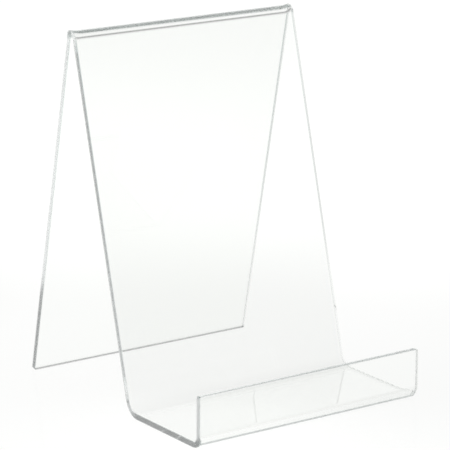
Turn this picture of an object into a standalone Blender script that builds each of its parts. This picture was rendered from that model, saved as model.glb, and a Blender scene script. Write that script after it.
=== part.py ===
"""Book display stand bent from one piece of clear acrylic sheet.

The stand is a single strip folded along three straight lines:

    back leg  ->  top fold  ->  front panel  ->  heel bend  ->  shelf
              ->  lip bend  ->  lip

Frame: +Z up, X along the width of the stand, the lip faces -Y.  The origin is
at table level in the middle of the footprint.  Metres throughout.
"""
from math import atan2, cos, pi, radians, sin, sqrt, tan
from typing import NamedTuple

import bmesh
import bpy
from mathutils import Vector

MM = 0.001

# --------------------------------------------------------------------------
# Driving dimensions
# --------------------------------------------------------------------------
SHEET_WIDTH = 127.0 * MM        # 5 in strip
SHEET_THICKNESS = 2.8 * MM      # nominal 3 mm (1/8 in) sheet
HALF_THICKNESS = SHEET_THICKNESS / 2

LIP_HEIGHT = 25.4 * MM          # table to the top edge of the lip
SHELF_DEPTH = 56.5 * MM         # lip mid-plane to panel mid-plane, along the shelf
PANEL_LEAN = radians(14.85)     # front panel, back from the vertical
LEG_LEAN = radians(11.9)        # back leg, from the vertical
APEX_HEIGHT = 183.0 * MM        # where the mid-planes of panel and leg would meet

# The tight top fold bunches up, so its two skins are not concentric.
TOP_OUTSIDE_RADIUS = 3.82 * MM
TOP_INSIDE_RADIUS = 1.20 * MM
SKIN_RAY_START = 0.9            # where skin rays start, as a share of the bend radius
                                # in from the mid-plane

# A heated line swells outwards at its two free ends when the sheet is folded.
FLARE_REACH = 4.4 * MM          # how far in from the side edge a flare starts
SIDE_INSETS = (0.0, 1.1 * MM, 2.2 * MM, 3.3 * MM, FLARE_REACH)  # columns at each side edge

CORNER_RADIUS = 0.8 * MM        # corners of the flat blank
CORNER_SEGMENTS = 4

ARRIS = 0.22 * MM               # softening of the polished edges
ARRIS_SEGMENTS = 2
ARRIS_ANGLE = radians(50)       # only edges sharper than this are softened
SHARP_ANGLE = radians(40)       # edges sharper than this are shaded sharp


class Bend(NamedTuple):
    radius: float               # on the mid-plane of the sheet
    steps: int                  # rows around the arc
    flare: float                # how far the ends of the bend stand proud
    lead: tuple = ()            # extra rows beyond the arc, furthest first; the
                                # first is also how far the flare runs on
    bunched: bool = False       # the skins follow the top fold's own two radii


# In order from the foot of the leg to the lip.
BENDS = (
    Bend(radius=2.5 * MM, steps=18, flare=0.70 * MM,
         lead=(1.6 * MM, 1.0 * MM, 0.45 * MM), bunched=True),   # top fold
    Bend(radius=8.6 * MM, steps=12, flare=0.22 * MM),           # heel bend
    Bend(radius=5.4 * MM, steps=12, flare=0.22 * MM),           # lip bend
)


class Row(NamedTuple):
    """One line of the mid-plane across the strip; 2D vectors are (y, z)."""
    point: Vector
    outward: Vector = Vector((0.0, 0.0))    # zero where there is no bend
    flare: float = 0.0                      # outward shift at the side edges
    outside: float = HALF_THICKNESS         # distance to the outside skin
    inside: float = HALF_THICKNESS          # distance to the inside skin


# --------------------------------------------------------------------------
# Side profile of the mid-plane
# --------------------------------------------------------------------------
def virtual_corners():
    """Mid-plane corner points (y, z) before any bend is rounded off."""
    lip_top = Vector((0.0, LIP_HEIGHT))
    lip_foot = Vector((0.0, HALF_THICKNESS))
    heel = Vector((SHELF_DEPTH, HALF_THICKNESS))
    apex_y = SHELF_DEPTH + (APEX_HEIGHT - HALF_THICKNESS) * tan(PANEL_LEAN)
    apex = Vector((apex_y, APEX_HEIGHT))
    # The leg is cut square, so it stands on the front corner of its cut edge.
    foot_z = HALF_THICKNESS * sin(LEG_LEAN)
    foot_y = apex.x + (APEX_HEIGHT - foot_z) * tan(LEG_LEAN)
    foot = Vector((foot_y, foot_z))
    # Put the origin in the middle of the footprint.
    front = -HALF_THICKNESS
    rear = foot.x + HALF_THICKNESS * cos(LEG_LEAN)
    middle = Vector(((front + rear) / 2, 0.0))
    return [corner - middle for corner in (foot, apex, heel, lip_foot, lip_top)]


def rounding_centre(corner, back, ahead, radius):
    """Centre of the arc that rounds off a corner between two unit directions."""
    half_angle = back.angle(ahead) / 2
    return corner + (back + ahead).normalized() * (radius / sin(half_angle))


def distance_to_skin(origin, direction, corner, back, ahead, radius):
    """Distance from origin, along direction, to a rounded-off corner."""
    centre = rounding_centre(corner, back, ahead, radius)
    to_centre = (back + ahead).normalized()
    half_arc = pi / 2 - back.angle(ahead) / 2
    offset = origin - centre
    along = offset.dot(direction)
    discriminant = along * along - (offset.length_squared - radius * radius)
    if discriminant >= 0.0:
        distance = -along + sqrt(discriminant)
        spoke = origin + direction * distance - centre
        if spoke.angle(-to_centre) <= half_arc + 1e-6:
            return distance
    # Past the arc: take the nearer of the two straight sides.
    distances = []
    for side in (back, ahead):
        normal = Vector((-side.y, side.x))
        slope = direction.dot(normal)
        if abs(slope) > 1e-9:
            distance = (corner - origin).dot(normal) / slope
            spot = origin + direction * distance
            if distance > 0.0 and (spot - corner).dot(side) > -1e-9:
                distances.append(distance)
    return min(distances)


def bend_rows(bend, before, corner, after):
    """Rows around one bend, from the side of corner 'before' to that of 'after'."""
    back = (before - corner).normalized()
    ahead = (after - corner).normalized()
    half_angle = back.angle(ahead) / 2
    to_centre = (back + ahead).normalized()
    centre = rounding_centre(corner, back, ahead, bend.radius)
    tangent_length = bend.radius / tan(half_angle)
    start = corner + back * tangent_length
    end = corner + ahead * tangent_length

    first = atan2(start.y - centre.y, start.x - centre.x)
    turn = atan2(end.y - centre.y, end.x - centre.x) - first
    turn = (turn + pi) % (2 * pi) - pi
    arc = abs(turn) * bend.radius
    flare_run = arc / 2 + (bend.lead[0] if bend.lead else 0.0)
    to_skin_corner = to_centre * (HALF_THICKNESS / sin(half_angle))

    def row(point, outward, from_middle):
        share = cos(min(1.0, abs(from_middle) / flare_run) * pi / 2) ** 2
        flare = bend.flare * share
        if not bend.bunched:
            return Row(point, outward, flare)
        lift = bend.radius * SKIN_RAY_START
        base = point - outward * lift
        to_outside = distance_to_skin(base, outward, corner - to_skin_corner,
                                      back, ahead, TOP_OUTSIDE_RADIUS)
        to_inside = distance_to_skin(base, outward, corner + to_skin_corner,
                                     back, ahead, TOP_INSIDE_RADIUS)
        return Row(point, outward, flare, to_outside - lift, lift - to_inside)

    start_outward = (start - centre).normalized()
    end_outward = (end - centre).normalized()
    rows = [row(start + back * run, start_outward, arc / 2 + run) for run in bend.lead]
    for step in range(bend.steps + 1):
        angle = first + turn * step / bend.steps
        outward = Vector((cos(angle), sin(angle)))
        rows.append(row(centre + outward * bend.radius, outward,
                        arc * (step / bend.steps - 0.5)))
    rows += [row(end + ahead * run, end_outward, arc / 2 + run)
             for run in reversed(bend.lead)]
    return rows


def profile_rows():
    """All rows from the foot of the leg to the top of the lip."""
    corners = virtual_corners()
    rows = [Row(corners[0])]
    for bend, before, corner, after in zip(BENDS, corners, corners[1:], corners[2:]):
        rows += bend_rows(bend, before, corner, after)
    rows.append(Row(corners[-1]))
    return rows


def width_columns():
    """(x, share of the flare) across the width, from -X to +X."""
    left = [(-SHEET_WIDTH / 2 + inset, (1.0 - inset / FLARE_REACH) ** 2)
            for inset in SIDE_INSETS]
    right = [(-x, share) for x, share in reversed(left)]
    return left + right


# --------------------------------------------------------------------------
# The bent sheet
# --------------------------------------------------------------------------
def add_mid_surface(bm):
    """Add the folded mid-plane; return the profile row of each grid vertex."""
    rows, columns = profile_rows(), width_columns()
    bmesh.ops.create_grid(bm, x_segments=len(columns) - 1, y_segments=len(rows) - 1,
                          size=0.5)
    # Carry every row of the flat grid to its place.
    grid = sorted(bm.verts, key=lambda vert: (round(vert.co.y, 6), vert.co.x))
    row_of = {}
    for index, vert in enumerate(grid):
        row = rows[index // len(columns)]
        x, share = columns[index % len(columns)]
        place = row.point + row.outward * (row.flare * share)
        vert.co = (x, place.x, place.y)
        row_of[vert] = row
    # Round the four corners of the blank.
    tips = [vert for vert in bm.verts if len(vert.link_edges) == 2]
    bmesh.ops.bevel(bm, geom=tips, offset=CORNER_RADIUS, offset_type='OFFSET',
                    segments=CORNER_SEGMENTS, profile=0.5, affect='VERTICES',
                    clamp_overlap=True)
    bmesh.ops.recalc_face_normals(bm, faces=bm.faces)
    bm.normal_update()
    return row_of


def thicken(bm, row_of):
    """Give the mid-surface its two skins and close the rim between them."""
    # Vertices made by rounding the corners lie on flat sheet.
    flat = Row(Vector((0.0, 0.0)))
    mid_verts = list(bm.verts)
    skin_places = {}
    for vert in mid_verts:
        row = row_of.get(vert, flat)
        above, below = row.outside, row.inside
        if vert.normal.dot(Vector((0.0, row.outward.x, row.outward.y))) < 0.0:
            above, below = below, above
        across = vert.normal * vert.calc_shell_factor()
        skin_places[vert] = (vert.co + across * above, vert.co - across * below)

    copy = bmesh.ops.duplicate(bm, geom=mid_verts + list(bm.edges) + list(bm.faces))
    twin = copy["vert_map"]
    rim = [edge for edge in bm.edges if edge.is_boundary and edge.verts[0] in skin_places]
    twin_faces = [item for item in copy["geom"] if isinstance(item, bmesh.types.BMFace)]
    for vert, (above, below) in skin_places.items():
        vert.co = above
        twin[vert].co = below
    bmesh.ops.reverse_faces(bm, faces=twin_faces)
    for edge in rim:
        start, end = edge.verts
        bm.faces.new((start, end, twin[end], twin[start]))
    bmesh.ops.recalc_face_normals(bm, faces=bm.faces)


def make_sheet_mesh(name):
    bm = bmesh.new()
    thicken(bm, add_mid_surface(bm))
    mesh = bpy.data.meshes.new(name)
    bm.to_mesh(mesh)
    bm.free()
    return mesh


def make_acrylic(name):
    """Clear, faintly green, polished acrylic."""
    settings = {
        "Base Color": (0.94, 0.965, 0.955, 1.0),
        "Metallic": 0.0,
        "Roughness": 0.04,
        "IOR": 1.49,
        "Transmission Weight": 1.0,
    }
    material = bpy.data.materials.new(name)
    material.use_nodes = True
    shader = material.node_tree.nodes["Principled BSDF"]
    for socket, value in settings.items():
        shader.inputs[socket].default_value = value
    return material


def add_sheet(name, collection):
    mesh = make_sheet_mesh(name)
    mesh.materials.append(make_acrylic("clear_acrylic"))
    sheet = bpy.data.objects.new(name, mesh)
    collection.objects.link(sheet)

    soften = sheet.modifiers.new("polished_edges", 'BEVEL')
    soften.width = ARRIS
    soften.segments = ARRIS_SEGMENTS
    soften.limit_method = 'ANGLE'
    soften.angle_limit = ARRIS_ANGLE
    soften.use_clamp_overlap = False

    for polygon in mesh.polygons:
        polygon.use_smooth = True
    mesh.set_sharp_from_angle(angle=SHARP_ANGLE)


# --------------------------------------------------------------------------
# Build in an empty scene
# --------------------------------------------------------------------------
for old in list(bpy.data.objects):
    bpy.data.objects.remove(old, do_unlink=True)

product = bpy.data.collections.new("book_display_stand")
bpy.context.scene.collection.children.link(product)
add_sheet("bent_acrylic_sheet", product)
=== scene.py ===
"""A book display stand: one folded sheet of clear acrylic on a pale table.

X runs across the width, with the middle at 0 and the left at -X.  The lip is at the front
(-Y).  Behind it come the shelf, the heel, the panel that leans back up to the top fold, and
the leg that drops to the table at the back.  The table top is at Z = 0.
"""
from collections import namedtuple
from math import sin, cos, tan, radians, pi, atan2, sqrt

import bpy
import bmesh
import numpy as np
from mathutils import Vector, Matrix


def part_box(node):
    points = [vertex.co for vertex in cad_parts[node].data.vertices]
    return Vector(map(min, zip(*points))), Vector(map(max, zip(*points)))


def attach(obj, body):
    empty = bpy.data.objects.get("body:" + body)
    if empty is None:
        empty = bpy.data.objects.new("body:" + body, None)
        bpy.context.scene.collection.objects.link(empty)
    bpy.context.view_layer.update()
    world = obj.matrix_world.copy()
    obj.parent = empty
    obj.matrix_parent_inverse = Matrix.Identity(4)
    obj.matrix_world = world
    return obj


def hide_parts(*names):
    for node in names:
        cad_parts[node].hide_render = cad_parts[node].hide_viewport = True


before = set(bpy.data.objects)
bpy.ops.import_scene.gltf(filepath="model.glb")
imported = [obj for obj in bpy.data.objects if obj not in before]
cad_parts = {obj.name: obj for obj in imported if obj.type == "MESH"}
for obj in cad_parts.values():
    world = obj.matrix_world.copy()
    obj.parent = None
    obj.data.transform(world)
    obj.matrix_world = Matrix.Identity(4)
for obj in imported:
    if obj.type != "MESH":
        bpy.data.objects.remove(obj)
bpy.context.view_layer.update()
scene = bpy.context.scene
MM = 0.001
NODE = "bent_acrylic_sheet"

# --------------------------------------------------------------------------
# Dimensions of the folded sheet
# --------------------------------------------------------------------------
WIDTH = 127.0 * MM
THICK = 2.8 * MM
LIP_HEIGHT = 25.4 * MM
SHELF_DEPTH = 56.5 * MM
PANEL_LEAN = radians(14.85)
LEG_LEAN = radians(11.9)
APEX_HEIGHT = 183.0 * MM
FRONT_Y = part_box(NODE)[0].y     # outer face of the lip
CORNER_RADIUS = 0.8 * MM        # of the sheet's four corners
ARRIS = 0.22 * MM               # rounding of the cut edges

# The tight top fold bunches up: its outside and its inside are not concentric.
TOP_OUTSIDE, TOP_INSIDE = 3.82 * MM, 1.20 * MM
BUNCH_LIMIT = 1.5 * MM          # a larger shift than this is ignored
RAY_START = 0.9                 # share of the radius by which the measuring ray starts inside
END_OUT, END_IN = 0.6, 0.9      # share of the bunching that is lost at the ends
END_LEAN = -1.5                 # of the fold's left cut end, against the plain rim

# Each bend stands proud at its two ends, over this distance in from the edge
FLARE_REACH = 4.4 * MM
FLARE_CELLS = 11
SUPPORT = 0.35 * MM             # straight rows that keep the flats flat next to a bend
# Distances of the straight rows on each side of the top fold, farthest first
TOP_LEAD = [3.6 * MM, 3.2 * MM] + [2.8 * MM * k / 12 for k in range(12, 0, -1)]

# radius: of the mid-plane; flare: height at the (left, right) end; run: how far the flare
# goes on past the arc; lead: distances of the straight rows on each side, farthest first
Bend = namedtuple("Bend", "radius steps flare run lead bunched")
BENDS = (
    Bend(2.5 * MM, 44, (0.70 * MM, 0.70 * MM), 1.6 * MM, TOP_LEAD, True),     # top
    Bend(8.6 * MM, 36, (0.22 * MM, 0.22 * MM), 0.0, [SUPPORT], False),        # heel
    Bend(5.4 * MM, 36, (0.70 * MM, 0.0), 0.0, [SUPPORT], False),              # lip
)

# A row of the mid-plane: its (y, z) point, the direction out of the bend there, the flare
# heights, and how far the outside and inside skins are shifted outward
Row = namedtuple("Row", "point outward flare_left flare_right extra_out extra_in")

# Per-vertex values kept on the mesh to shift the skins
SKIN_ATTRIBUTES = ("outward_y", "outward_z", "extra_out", "extra_in")


# --------------------------------------------------------------------------
# Profile of the sheet
# --------------------------------------------------------------------------
def virtual_corners():
    """(y, z) points of the mid-plane, from the leg's foot to the lip, before rounding."""
    half = THICK / 2
    lip_y = FRONT_Y + half
    lip_top = Vector((lip_y, LIP_HEIGHT))
    lip_foot = Vector((lip_y, half))
    heel = Vector((lip_y + SHELF_DEPTH, half))
    apex = Vector((heel.x + (APEX_HEIGHT - half) * tan(PANEL_LEAN), APEX_HEIGHT))
    foot_z = half * sin(LEG_LEAN)
    foot = Vector((apex.x + (APEX_HEIGHT - foot_z) * tan(LEG_LEAN), foot_z))
    return [foot, apex, heel, lip_foot, lip_top]


def reach_of_corner(origin, way, corner, back, ahead, radius):
    """Distance from origin along way to a corner rounded off with the given radius."""
    half_angle = back.angle(ahead) / 2
    axis = (back + ahead).normalized()
    centre = corner + axis * (radius / sin(half_angle))
    rel = origin - centre
    along = rel.dot(way)
    under = along * along - (rel.length_squared - radius * radius)
    if under >= 0.0:
        hit = -along + sqrt(under)
        spot = origin + way * hit - centre
        if spot.angle(-axis) <= pi / 2 - half_angle + 1e-6:
            return hit
    # Past the arc, the ray meets one of the two straight sides
    best = 1e9
    for line in (back, ahead):
        normal = Vector((-line.y, line.x))
        slope = way.dot(normal)
        if abs(slope) > 1e-9:
            hit = (corner - origin).dot(normal) / slope
            if hit > 0.0 and (origin + way * hit - corner).dot(line) > -1e-9:
                best = min(best, hit)
    return best


def bend_rows(before, here, after, bend):
    """Rows round the bend at the corner here, with the straight rows on each side."""
    radius = bend.radius
    back = (before - here).normalized()
    ahead = (after - here).normalized()
    half_angle = back.angle(ahead) / 2
    axis = (back + ahead).normalized()
    centre = here + axis * (radius / sin(half_angle))
    start = here + back * (radius / tan(half_angle))
    end = here + ahead * (radius / tan(half_angle))
    first = atan2(start.y - centre.y, start.x - centre.x)
    turn = atan2(end.y - centre.y, end.x - centre.x) - first
    turn = (turn + pi) % (2 * pi) - pi
    arc = abs(turn) * radius
    to_skin = axis * (THICK / 2 / sin(half_angle))

    def bunching(point, outward):
        """Shifts of the outside and inside skins from the plain offset."""
        lift = radius * RAY_START
        origin = point - outward * lift
        outside = reach_of_corner(origin, outward, here - to_skin, back, ahead, TOP_OUTSIDE)
        inside = reach_of_corner(origin, outward, here + to_skin, back, ahead, TOP_INSIDE)
        shifts = (outside - lift - THICK / 2, inside - lift + THICK / 2)
        return (0.0, 0.0) if max(map(abs, shifts)) > BUNCH_LIMIT else shifts

    def row(point, outward, from_middle):
        share = cos(min(1.0, abs(from_middle) / (arc / 2 + bend.run)) * pi / 2) ** 2
        shifts = bunching(point, outward) if bend.bunched else (0.0, 0.0)
        return Row(point, outward, bend.flare[0] * share, bend.flare[1] * share, *shifts)

    normal_in = (start - centre).normalized()
    normal_out = (end - centre).normalized()
    rows = [row(start + back * extra, normal_in, arc / 2 + extra) for extra in bend.lead]
    for step in range(bend.steps + 1):
        angle = first + turn * step / bend.steps
        outward = Vector((cos(angle), sin(angle)))
        rows.append(row(centre + outward * radius, outward, arc * (step / bend.steps - 0.5)))
    rows += [row(end + ahead * extra, normal_out, arc / 2 + extra)
             for extra in reversed(bend.lead)]
    return rows


def profile_rows():
    """Rows of the mid-plane from the leg's foot to the lip."""
    corners = virtual_corners()
    plain = (Vector((0.0, 0.0)), 0.0, 0.0, 0.0, 0.0)
    rows = [Row(corners[0], *plain)]
    for index, bend in enumerate(BENDS):
        rows += bend_rows(*corners[index:index + 3], bend)
    rows.append(Row(corners[-1], *plain))
    return rows


def width_columns():
    """(x, share of the left flare, share of the right flare) across the width."""
    half = WIDTH / 2
    first = CORNER_RADIUS * 1.35    # clear of the rounded corners
    insets = [0.0]
    insets += [first + (FLARE_REACH - first) * k / FLARE_CELLS for k in range(FLARE_CELLS + 1)]
    insets += [FLARE_REACH + SUPPORT]
    left = [(-half + inset, max(0.0, 1.0 - inset / FLARE_REACH) ** 2, 0.0) for inset in insets]
    return left + [(-x, 0.0, share) for x, share, _ in reversed(left)]


# --------------------------------------------------------------------------
# The sheet's mesh
# --------------------------------------------------------------------------
def drafted(mesh):
    """A passing object that carries the modifiers."""
    draft = bpy.data.objects.new("draft", mesh)
    scene.collection.objects.link(draft)
    return draft


def baked(draft):
    """The draft's mesh with its modifiers applied; the draft itself is removed."""
    bpy.context.view_layer.update()
    evaluated = draft.evaluated_get(bpy.context.evaluated_depsgraph_get())
    mesh = bpy.data.meshes.new_from_object(evaluated)
    old = draft.data
    bpy.data.objects.remove(draft, do_unlink=True)
    bpy.data.meshes.remove(old)
    return mesh


def mid_plane(rows):
    """The folded mid-plane with rounded corners."""
    cols = width_columns()
    bm = bmesh.new()
    bmesh.ops.create_grid(bm, x_segments=len(cols) - 1, y_segments=len(rows) - 1, size=0.5)
    layers = [bm.verts.layers.float.new(name) for name in SKIN_ATTRIBUTES]
    grid = sorted(bm.verts, key=lambda v: (round(v.co.y, 6), v.co.x))
    for count, vert in enumerate(grid):
        row = rows[count // len(cols)]
        x, left, right = cols[count % len(cols)]
        place = row.point + row.outward * (row.flare_left * left + row.flare_right * right)
        vert.co = (x, place.x, place.y)
        # The bunching dies away towards the ends: outside only at the left, inside at both.
        values = (row.outward.x, row.outward.y,
                  row.extra_out * (1.0 - END_OUT * left),
                  row.extra_in * (1.0 - END_IN * (left + right)))
        for layer, value in zip(layers, values):
            vert[layer] = value
    tips = [v for v in bm.verts if len(v.link_edges) == 2]
    bmesh.ops.bevel(bm, geom=tips, offset=CORNER_RADIUS, offset_type='OFFSET',
                    segments=8, profile=0.5, affect='VERTICES', clamp_overlap=True)
    bmesh.ops.recalc_face_normals(bm, faces=bm.faces)
    mesh = bpy.data.meshes.new("mid_plane")
    bm.to_mesh(mesh)
    bm.free()
    for poly in mesh.polygons:
        poly.use_smooth = True
    # Slot 0 is for the broad faces, slot 1 for the cut edges
    mesh.materials.append(None)
    mesh.materials.append(None)
    return mesh


def thickened(mesh):
    """The sheet at full thickness, with square edges."""
    middle = [v.co.copy() for v in mesh.vertices]
    draft = drafted(mesh)
    wall = draft.modifiers.new("sheet_thickness", 'SOLIDIFY')
    wall.thickness = THICK
    wall.offset = 0.0
    wall.use_even_offset = True
    wall.use_rim = True
    wall.material_offset_rim = 1
    shell = baked(draft)
    # The bunched fold: its outside and inside skins are moved off the plain offset.
    out_y, out_z, extra_out, extra_in = [shell.attributes[n].data for n in SKIN_ATTRIBUTES]
    for index, vert in enumerate(shell.vertices):
        outward = Vector((0.0, out_y[index].value, out_z[index].value))
        if outward.length < 0.5:
            continue
        core = middle[index % len(middle)]
        if core.x < 1e-6 - WIDTH / 2 and core.z > LIP_HEIGHT * 2:
            # The top fold's left cut end leans the other way: its outside stands proud.
            vert.co.x = (vert.co.x + WIDTH / 2) * END_LEAN - WIDTH / 2
        side = (vert.co - core).dot(outward)
        vert.co += outward * (extra_out if side > 0 else extra_in)[index].value
    return shell


def softened(shell):
    """The sheet with rounded arrises and true flats."""
    draft = drafted(shell)
    soften = draft.modifiers.new("polished_edges", 'BEVEL')
    soften.width = ARRIS
    soften.segments = 3
    soften.limit_method = 'ANGLE'
    soften.angle_limit = radians(50)
    soften.use_clamp_overlap = False
    soften.material = 1
    flats = draft.modifiers.new("true_flats", 'WEIGHTED_NORMAL')
    flats.mode = 'FACE_AREA'
    flats.weight = 50
    flats.keep_sharp = True
    return baked(draft)


def add_vectors(mesh, name, parts, scale=1.0):
    values = np.stack(parts, 1).astype(np.float32).ravel() * scale
    mesh.attributes.new(name, 'FLOAT_VECTOR', 'POINT').data.foreach_set("vector", values)


def add_blank_coordinates(mesh, rows):
    """Stores where each point lay on the flat blank, and the sheet's own normal there.

    blank_mm is (across the width, along the sheet, through its thickness) in
    millimetres; sheet_normal points through the thickness.
    """
    line = np.array([[row.point.x, row.point.y] for row in rows])
    steps = line[1:] - line[:-1]
    lengths = np.linalg.norm(steps, axis=1)
    starts = np.concatenate([[0.0], np.cumsum(lengths)])
    co = np.zeros(len(mesh.vertices) * 3)
    mesh.vertices.foreach_get("co", co)
    co = co.reshape(-1, 3)
    nearest = np.full(len(co), 1e9)
    along = np.zeros(len(co))
    through = np.zeros(len(co))
    normal = np.zeros((len(co), 2))
    # Each vertex takes its values from the nearest segment of the profile
    for origin, step, length, start in zip(line, steps, lengths, starts):
        way = step / length
        rel = co[:, 1:] - origin
        travelled = np.clip(rel @ way, 0.0, length)
        away = rel - travelled[:, None] * way
        dist = np.linalg.norm(away, axis=1)
        side = np.sign(way[0] * away[:, 1] - way[1] * away[:, 0])
        closer = dist < nearest
        nearest[closer] = dist[closer]
        along[closer] = start + travelled[closer]
        through[closer] = (dist * side)[closer]
        normal[closer] = (away / np.maximum(dist, 1e-9)[:, None] * side[:, None])[closer]
    add_vectors(mesh, "blank_mm", [co[:, 0], along, through], scale=1000.0)
    add_vectors(mesh, "sheet_normal", [np.zeros(len(co)), normal[:, 0], normal[:, 1]])


def make_sheet():
    rows = profile_rows()
    mesh = softened(thickened(mid_plane(rows)))
    mesh.name = "acrylic_sheet"
    add_blank_coordinates(mesh, rows)
    sheet = bpy.data.objects.new("acrylic_sheet", mesh)
    scene.collection.objects.link(sheet)
    return sheet


# --------------------------------------------------------------------------
# Shader graph helper
# --------------------------------------------------------------------------
class Graph:
    """Wires shader nodes in an emptied tree."""

    def __init__(self, tree):
        self.tree = tree
        tree.nodes.clear()

    def node(self, kind, **settings):
        made = self.tree.nodes.new(kind)
        for key, value in settings.items():
            setattr(made, key, value)
        return made

    def put(self, socket, value):
        """Links a socket's value, or sets a plain one."""
        if isinstance(value, bpy.types.NodeSocket):
            self.tree.links.new(value, socket)
        else:
            socket.default_value = value

    def fill(self, node, values):
        for key, value in values.items():
            self.put(node.inputs[key], value)

    def math(self, op, a, b=0.0, c=0.0, clamp=False):
        made = self.node("ShaderNodeMath", operation=op, use_clamp=clamp)
        self.fill(made, {0: a, 1: b, 2: c})
        return made.outputs[0]

    def vec(self, op, a, b=None, scale=None):
        made = self.node("ShaderNodeVectorMath", operation=op)
        self.put(made.inputs[0], a)
        if b is not None:
            self.put(made.inputs[1], b)
        if scale is not None:
            self.put(made.inputs["Scale"], scale)
        return made.outputs["Value" if op == 'LENGTH' else "Vector"]

    def attribute(self, name):
        return self.node("ShaderNodeAttribute", attribute_name=name).outputs["Vector"]

    def coordinates(self, kind):
        return self.node("ShaderNodeTexCoord").outputs[kind]

    def noise(self, vector, scale=1.0, detail=2.0, roughness=0.5):
        made = self.node("ShaderNodeTexNoise")
        self.fill(made, {"Vector": vector, "Scale": scale, "Detail": detail,
                         "Roughness": roughness})
        return made.outputs["Fac"]

    def ramp(self, value, low, high, to_low=0.0, to_high=1.0):
        made = self.node("ShaderNodeMapRange", interpolation_type='SMOOTHSTEP')
        self.fill(made, {"Value": value, "From Min": low, "From Max": high,
                         "To Min": to_low, "To Max": to_high})
        return made.outputs["Result"]

    def split(self, vector):
        made = self.node("ShaderNodeSeparateXYZ")
        self.put(made.inputs[0], vector)
        return made.outputs[:3]

    def join(self, x, y, z):
        made = self.node("ShaderNodeCombineXYZ")
        self.fill(made, {0: x, 1: y, 2: z})
        return made.outputs[0]

    def blend(self, share, low, high):
        """low where share is 0, high where it is 1."""
        return self.math('ADD', self.math('MULTIPLY', self.math('SUBTRACT', 1.0, share), low),
                         self.math('MULTIPLY', share, high))

    def swing(self, noise, reach):
        """Noise turned into a value that swings by reach either way."""
        return self.math('MULTIPLY', self.math('SUBTRACT', noise, 0.5), reach * 2.0)

    def toward(self, x, y, way, length):
        """Cosine between a horizontal place of the given length and a direction."""
        dot = self.math('ADD', self.math('MULTIPLY', x, way.x), self.math('MULTIPLY', y, way.y))
        return self.math('DIVIDE', dot, length)

    def lobe(self, cosine):
        """Cosine squared on the near side, nothing on the far side."""
        return self.math('POWER', self.math('MAXIMUM', cosine, 0.0), 2.0)


def new_material(name):
    mat = bpy.data.materials.new(name)
    mat.use_nodes = True
    g = Graph(mat.node_tree)
    out = g.node("ShaderNodeOutputMaterial")
    bsdf = g.node("ShaderNodeBsdfPrincipled")
    return mat, g, bsdf, out


# --------------------------------------------------------------------------
# Acrylic
# --------------------------------------------------------------------------
ABSORB_COLOUR = (0.54, 0.667, 0.645, 1.0)
ABSORB_DENSITY = 1.2
FACE_TINT = (0.986, 0.992, 0.984, 1.0)
EDGE_LINES = 0.003            # slope of the fine tool lines along an edge
LINES_ACROSS, LINES_ALONG, LINES_SLICE = 23.0, 0.004, 3.1    # their noise, per mm, and its Z
EDGE_WANDER = 0.004           # how far the hand-buffed edge wanders from its mean slope
WANDER_ALONG, WANDER_SLICE = 0.03, 7.7                       # its noise, per mm, and its Y
OUT_OF_SQUARE = -0.027        # the edges are cut about a degree and a half off square
EDGE_ROUGH = 0.02             # of a buffed edge
EDGE_ROUGH_MORE = 0.05        # what its patches add
LIP_ROUGH = 0.28              # what the sanded ends of the lip add to it
LIP_FADE = (FRONT_Y + THICK + 1 * MM, FRONT_Y + THICK + 5 * MM)    # y where that dies away
LEG_ROUGH = 0.20              # what the leg's edges add to it
LEG_LENGTH = 184.0            # mm along the blank, from the leg's foot to the top fold
LEG_FADE = (LEG_LENGTH - 14.0, LEG_LENGTH - 6.0)                   # where that dies away


def clear_base(name):
    mat, g, bsdf, out = new_material(name)
    g.fill(bsdf, {"Base Color": (1.0, 1.0, 1.0, 1.0), "Metallic": 0.0, "IOR": 1.49,
                  "Transmission Weight": 1.0})
    volume = g.node("ShaderNodeVolumeAbsorption")
    g.fill(volume, {"Color": ABSORB_COLOUR, "Density": ABSORB_DENSITY})
    g.put(out.inputs["Volume"], volume.outputs["Volume"])
    g.put(out.inputs["Surface"], bsdf.outputs["BSDF"])
    return mat, g, bsdf


def acrylic_faces():
    """The two broad faces: glossy, with faint handling haze."""
    mat, g, bsdf = clear_base("acrylic_faces")
    haze = g.noise(g.attribute("blank_mm"), scale=0.045, detail=5.0, roughness=0.6)
    g.fill(bsdf, {"Base Color": FACE_TINT,
                  "Roughness": g.ramp(haze, low=0.50, high=0.85, to_high=0.035)})
    return mat


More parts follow.
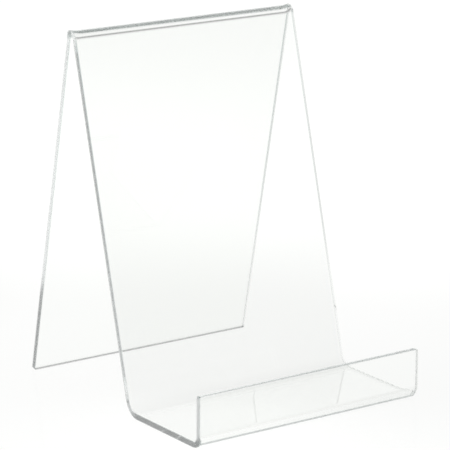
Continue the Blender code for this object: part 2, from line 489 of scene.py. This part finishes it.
def acrylic_edges():
    """Cut edges: polished, with fine tool lines that run along the edge."""
    mat, g, bsdf = clear_base("acrylic_edges")
    across, length, through = g.split(g.attribute("blank_mm"))
    # Grows along every edge, whether it runs across the sheet or along it
    along = g.math('ADD', length, across)
    fine = g.noise(g.join(g.math('MULTIPLY', through, LINES_ACROSS),
                          g.math('MULTIPLY', along, LINES_ALONG), LINES_SLICE), detail=1.0)
    slow = g.noise(g.join(g.math('MULTIPLY', along, WANDER_ALONG), WANDER_SLICE, 0.0),
                   detail=0.0)
    tilt = g.math('ADD', g.swing(fine, EDGE_LINES),
                  g.math('ADD', g.swing(slow, EDGE_WANDER), OUT_OF_SQUARE))
    normal = g.node("ShaderNodeNewGeometry").outputs["Normal"]
    bent = g.vec('ADD', normal, g.vec('SCALE', g.attribute("sheet_normal"), scale=tilt))
    g.put(bsdf.inputs["Normal"], g.vec('NORMALIZE', bent))

    # The upright ends of the lip were only sanded, the leg's a little, the rest is buffed.
    depth = g.split(g.coordinates("Object"))[1]
    lip = g.ramp(depth, *LIP_FADE, to_low=LIP_ROUGH, to_high=0.0)
    upright = g.math('SUBTRACT', 1.0, g.math('ABSOLUTE', g.split(normal)[2]))
    leg = g.ramp(length, *LEG_FADE, to_low=LEG_ROUGH, to_high=0.0)
    buff = g.ramp(g.noise(g.join(along, through, 0.0), scale=0.3, detail=3.0),
                  low=0.35, high=0.75, to_low=EDGE_ROUGH, to_high=EDGE_ROUGH + EDGE_ROUGH_MORE)
    sanded = g.math('ADD', g.math('MULTIPLY', lip, upright), leg)
    g.put(bsdf.inputs["Roughness"], g.math('ADD', sanded, buff))
    return mat


# --------------------------------------------------------------------------
# Floor
# --------------------------------------------------------------------------
CAMERA_YAW = radians(35.456)
# Horizontal direction the camera looks along, and its right-hand side
AHEAD = Vector((sin(CAMERA_YAW), cos(CAMERA_YAW)))
RIGHT = Vector((AHEAD.y, -AHEAD.x))

FLOOR_RADIUS = 9.0
FLOOR_DROP = 0.05 * MM          # keeps the floor clear of the sheet's underside
# Painted light: the floor glows to stand in for the studio light on it, under the stand, close
# to it, in a ring round it and farther off
FLOOR_MIDDLE = 0.895
FLOOR_NEAR = {"ahead": 0.91, "right": 0.88, "behind": 0.98, "left": 0.905}
FLOOR_RING = {"ahead": 1.07, "right": 0.70, "behind": 0.76, "left": 0.56}
FLOOR_FAR = {"ahead": 0.98, "right": 0.78, "behind": 0.78, "left": 0.80}
# Distances from the origin over which each gives way to the next
MIDDLE_TO_NEAR = (0.01, 0.06)
NEAR_TO_RING = (0.14, 0.24)
NEAR_TO_RING_AHEAD = (0.12, 0.36)
RING_TO_FAR = (0.5, 1.0)
FLOOR_PAINTED_SHEEN = 1.26              # painted sheen: emission standing in for the floor's reflection at a low angle
FLOOR_PAINTED_SKIM = 0.80               # and at a skimming angle
MIRROR_SHARE = 0.15             # of true reflection in the top coat; the rest is painted sheen


def quarters(g, facing, aside, values):
    """A value that turns smoothly from one quarter round the stand to the next."""
    parts = []
    for key, cosine, sign in (("ahead", facing, 1), ("behind", facing, -1),
                              ("right", aside, 1), ("left", aside, -1)):
        lobe = g.lobe(g.math('MULTIPLY', cosine, sign))
        parts.append(g.math('MULTIPLY', lobe, values[key]))
    return g.math('ADD', g.math('ADD', *parts[:2]), g.math('ADD', *parts[2:]))


# Painted light: the floor's emission strength, quarter by quarter and ring by ring round the
# stand, stands in for the studio light that falls on it.
def floor_painted_light(g, place):
    x, y = g.split(place)[:2]
    distance = g.vec('LENGTH', place)
    divisor = g.math('MAXIMUM', distance, 0.001)
    facing = g.toward(x, y, AHEAD, divisor)
    aside = g.toward(x, y, RIGHT, divisor)
    # Ahead of the camera the ring comes in more slowly
    to_ring = g.blend(g.lobe(facing), g.ramp(distance, *NEAR_TO_RING),
                      g.ramp(distance, *NEAR_TO_RING_AHEAD))
    painted_floor_light = g.blend(g.ramp(distance, *MIDDLE_TO_NEAR), FLOOR_MIDDLE,
                   quarters(g, facing, aside, FLOOR_NEAR))
    painted_floor_light = g.blend(to_ring, painted_floor_light, quarters(g, facing, aside, FLOOR_RING))
    return g.blend(g.ramp(distance, *RING_TO_FAR), painted_floor_light,
                   quarters(g, facing, aside, FLOOR_FAR))


def table_white_painted_light():
    """A matt base that glows with painted studio light, under a top coat of painted sheen
    (emission standing in for reflection) and a little true reflection.
    """
    mat, g, base, out = new_material("table_white_painted_light")
    place = g.coordinates("Object")
    # Painted light: the matt base glows, standing in for the studio light on the floor.
    g.fill(base, {"Base Color": (0.06, 0.0605, 0.06, 1), "Specular IOR Level": 0.0,
                  "Roughness": 0.9, "Emission Color": (0.995, 1.0, 0.99, 1),
                  "Emission Strength": floor_painted_light(g, place)})
    gloss = g.node("ShaderNodeBsdfGlossy")
    smear = g.noise(place, scale=9.0, detail=4.0)
    g.fill(gloss, {"Color": (1, 1, 1, 1),
                   "Roughness": g.ramp(smear, low=0.3, high=0.8, to_low=0.03, to_high=0.08)})
    fresnel = g.node("ShaderNodeFresnel")
    g.put(fresnel.inputs["IOR"], 1.45)
    # Painted sheen: an emission that stands in for the floor's reflection of a bright room,
    # stronger at a low angle than at a skimming one.
    painted_sheen = g.node("ShaderNodeEmission")
    g.put(painted_sheen.inputs["Strength"], g.ramp(fresnel.outputs[0], low=0.28, high=0.70,
                                           to_low=FLOOR_PAINTED_SHEEN, to_high=FLOOR_PAINTED_SKIM))
    # Top coat: the painted sheen mixed with a little true reflection.
    gloss_and_painted_sheen = g.node("ShaderNodeMixShader")
    g.fill(gloss_and_painted_sheen, {0: MIRROR_SHARE, 1: painted_sheen.outputs[0], 2: gloss.outputs["BSDF"]})
    layer = g.node("ShaderNodeMixShader")
    g.fill(layer, {0: fresnel.outputs[0], 1: base.outputs["BSDF"], 2: gloss_and_painted_sheen.outputs[0]})
    g.put(out.inputs["Surface"], layer.outputs[0])
    return mat


def make_floor():
    bm = bmesh.new()
    bmesh.ops.create_circle(bm, cap_ends=True, segments=96, radius=FLOOR_RADIUS)
    mesh = bpy.data.meshes.new("table_top")
    bm.to_mesh(mesh)
    bm.free()
    floor = bpy.data.objects.new("table_top", mesh)
    floor.location = (0, 0, -FLOOR_DROP)
    scene.collection.objects.link(floor)
    mesh.materials.append(table_white_painted_light())
    return floor


# --------------------------------------------------------------------------
# World and light
# --------------------------------------------------------------------------
# A white studio: four quarters around the stand, each with its own brightness at these
# heights above the horizon.  The side of the room to the right is darker low down.
STUDIO_DEGREES = (6, 18, 32, 50, 75)
STUDIO = (
    (AHEAD, (0.85, 0.95, 0.52, 0.42, 0.25)),
    (RIGHT, (0.24, 0.30, 0.19, 0.19, 0.25)),
    (-AHEAD, (0.85, 0.52, 0.90, 0.44, 0.25)),
    (-RIGHT, (0.85, 0.52, 0.20, 0.20, 0.25)),
)
STUDIO_SCALE = 1.5              # brightness that a full ramp colour stands for


def make_world():
    world = bpy.data.worlds.new("studio")
    scene.world = world
    world.use_nodes = True
    g = Graph(world.node_tree)
    x, y, z = g.split(g.coordinates("Generated"))
    level = g.math('DIVIDE', g.math('ARCSINE', z), pi / 2, clamp=True)
    squares = g.math('ADD', g.math('MULTIPLY', x, x), g.math('MULTIPLY', y, y))
    across = g.math('SQRT', g.math('MAXIMUM', squares, 1e-6))
    total = None
    for way, values in STUDIO:
        lobe = g.lobe(g.toward(x, y, way, across))
        curve = g.node("ShaderNodeValToRGB")
        curve.color_ramp.interpolation = 'EASE'
        stops = curve.color_ramp.elements
        while len(stops) < len(values):
            stops.new(0.5)
        for stop, degrees, value in zip(stops, STUDIO_DEGREES, values):
            stop.position = degrees / 90
            stop.color = (value / STUDIO_SCALE,) * 3 + (1.0,)
        g.put(curve.inputs[0], level)
        part = g.math('MULTIPLY', lobe, g.math('MULTIPLY', curve.outputs["Color"], STUDIO_SCALE))
        total = part if total is None else g.math('ADD', total, part)
    sky = g.node("ShaderNodeBackground")
    g.fill(sky, {"Color": g.join(total, total, total), "Strength": 1.0})
    g.put(g.node("ShaderNodeOutputWorld").inputs["Surface"], sky.outputs[0])


def add_softbox(name, location, target, size, power):
    data = bpy.data.lights.new(name, 'AREA')
    data.shape = 'RECTANGLE'
    data.size = data.size_y = size
    data.energy = power
    light = bpy.data.objects.new(name, data)
    light.location = location
    light.rotation_mode = 'QUATERNION'
    light.rotation_quaternion = (Vector(target) - Vector(location)).to_track_quat('-Z', 'Y')
    scene.collection.objects.link(light)


# --------------------------------------------------------------------------
# Camera
# --------------------------------------------------------------------------
CAMERA_PITCH, CAMERA_ROLL = radians(14.898), radians(0.267)    # pitch is downward
# The camera's y is measured from the lip's mid-plane.
CAMERA_PLACE = (-0.70577, FRONT_Y + THICK / 2 - 0.92246, 0.40438)
SENSOR_WIDTH, FOCAL_LENGTH = 36.0, 210.0672                    # millimetres
CAMERA_SHIFT = 0.00111111       # of the sensor's width, leftward and upward


def make_camera():
    data = bpy.data.cameras.new("camera")
    data.sensor_width = SENSOR_WIDTH
    data.lens = FOCAL_LENGTH
    data.shift_x, data.shift_y = -CAMERA_SHIFT, CAMERA_SHIFT
    data.clip_start, data.clip_end = 0.05, 60.0
    forward = Vector((sin(CAMERA_YAW) * cos(CAMERA_PITCH), cos(CAMERA_YAW) * cos(CAMERA_PITCH),
                      -sin(CAMERA_PITCH)))
    level_right = RIGHT.to_3d()
    level_up = level_right.cross(forward)
    right = level_right * cos(CAMERA_ROLL) + level_up * sin(CAMERA_ROLL)
    up = -level_right * sin(CAMERA_ROLL) + level_up * cos(CAMERA_ROLL)
    camera = bpy.data.objects.new("camera", data)
    camera.rotation_mode = 'QUATERNION'
    camera.rotation_quaternion = Matrix((right, up, -forward)).transposed().to_quaternion()
    camera.location = CAMERA_PLACE
    scene.collection.objects.link(camera)
    scene.camera = camera


def set_render():
    scene.view_settings.view_transform = 'Standard'
    scene.view_settings.look = 'None'
    cycles = scene.cycles
    cycles.filter_width = 1.9
    # Light is trapped in the sheet over many bounces
    cycles.max_bounces = cycles.glossy_bounces = cycles.transmission_bounces = 400
    cycles.diffuse_bounces = 4
    cycles.transparent_max_bounces = 32


# --------------------------------------------------------------------------
# Build
# --------------------------------------------------------------------------
sheet = make_sheet()
sheet.data.materials[0] = acrylic_faces()
sheet.data.materials[1] = acrylic_edges()
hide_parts(NODE)
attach(sheet, "root")
make_floor()
make_world()
add_softbox("softbox_overhead", location=(-0.6, -0.4, 2.4), target=(0, 0.0, 0),
            size=2.0, power=1.0)
make_camera()
set_render()

bpy.context.view_layer.update()
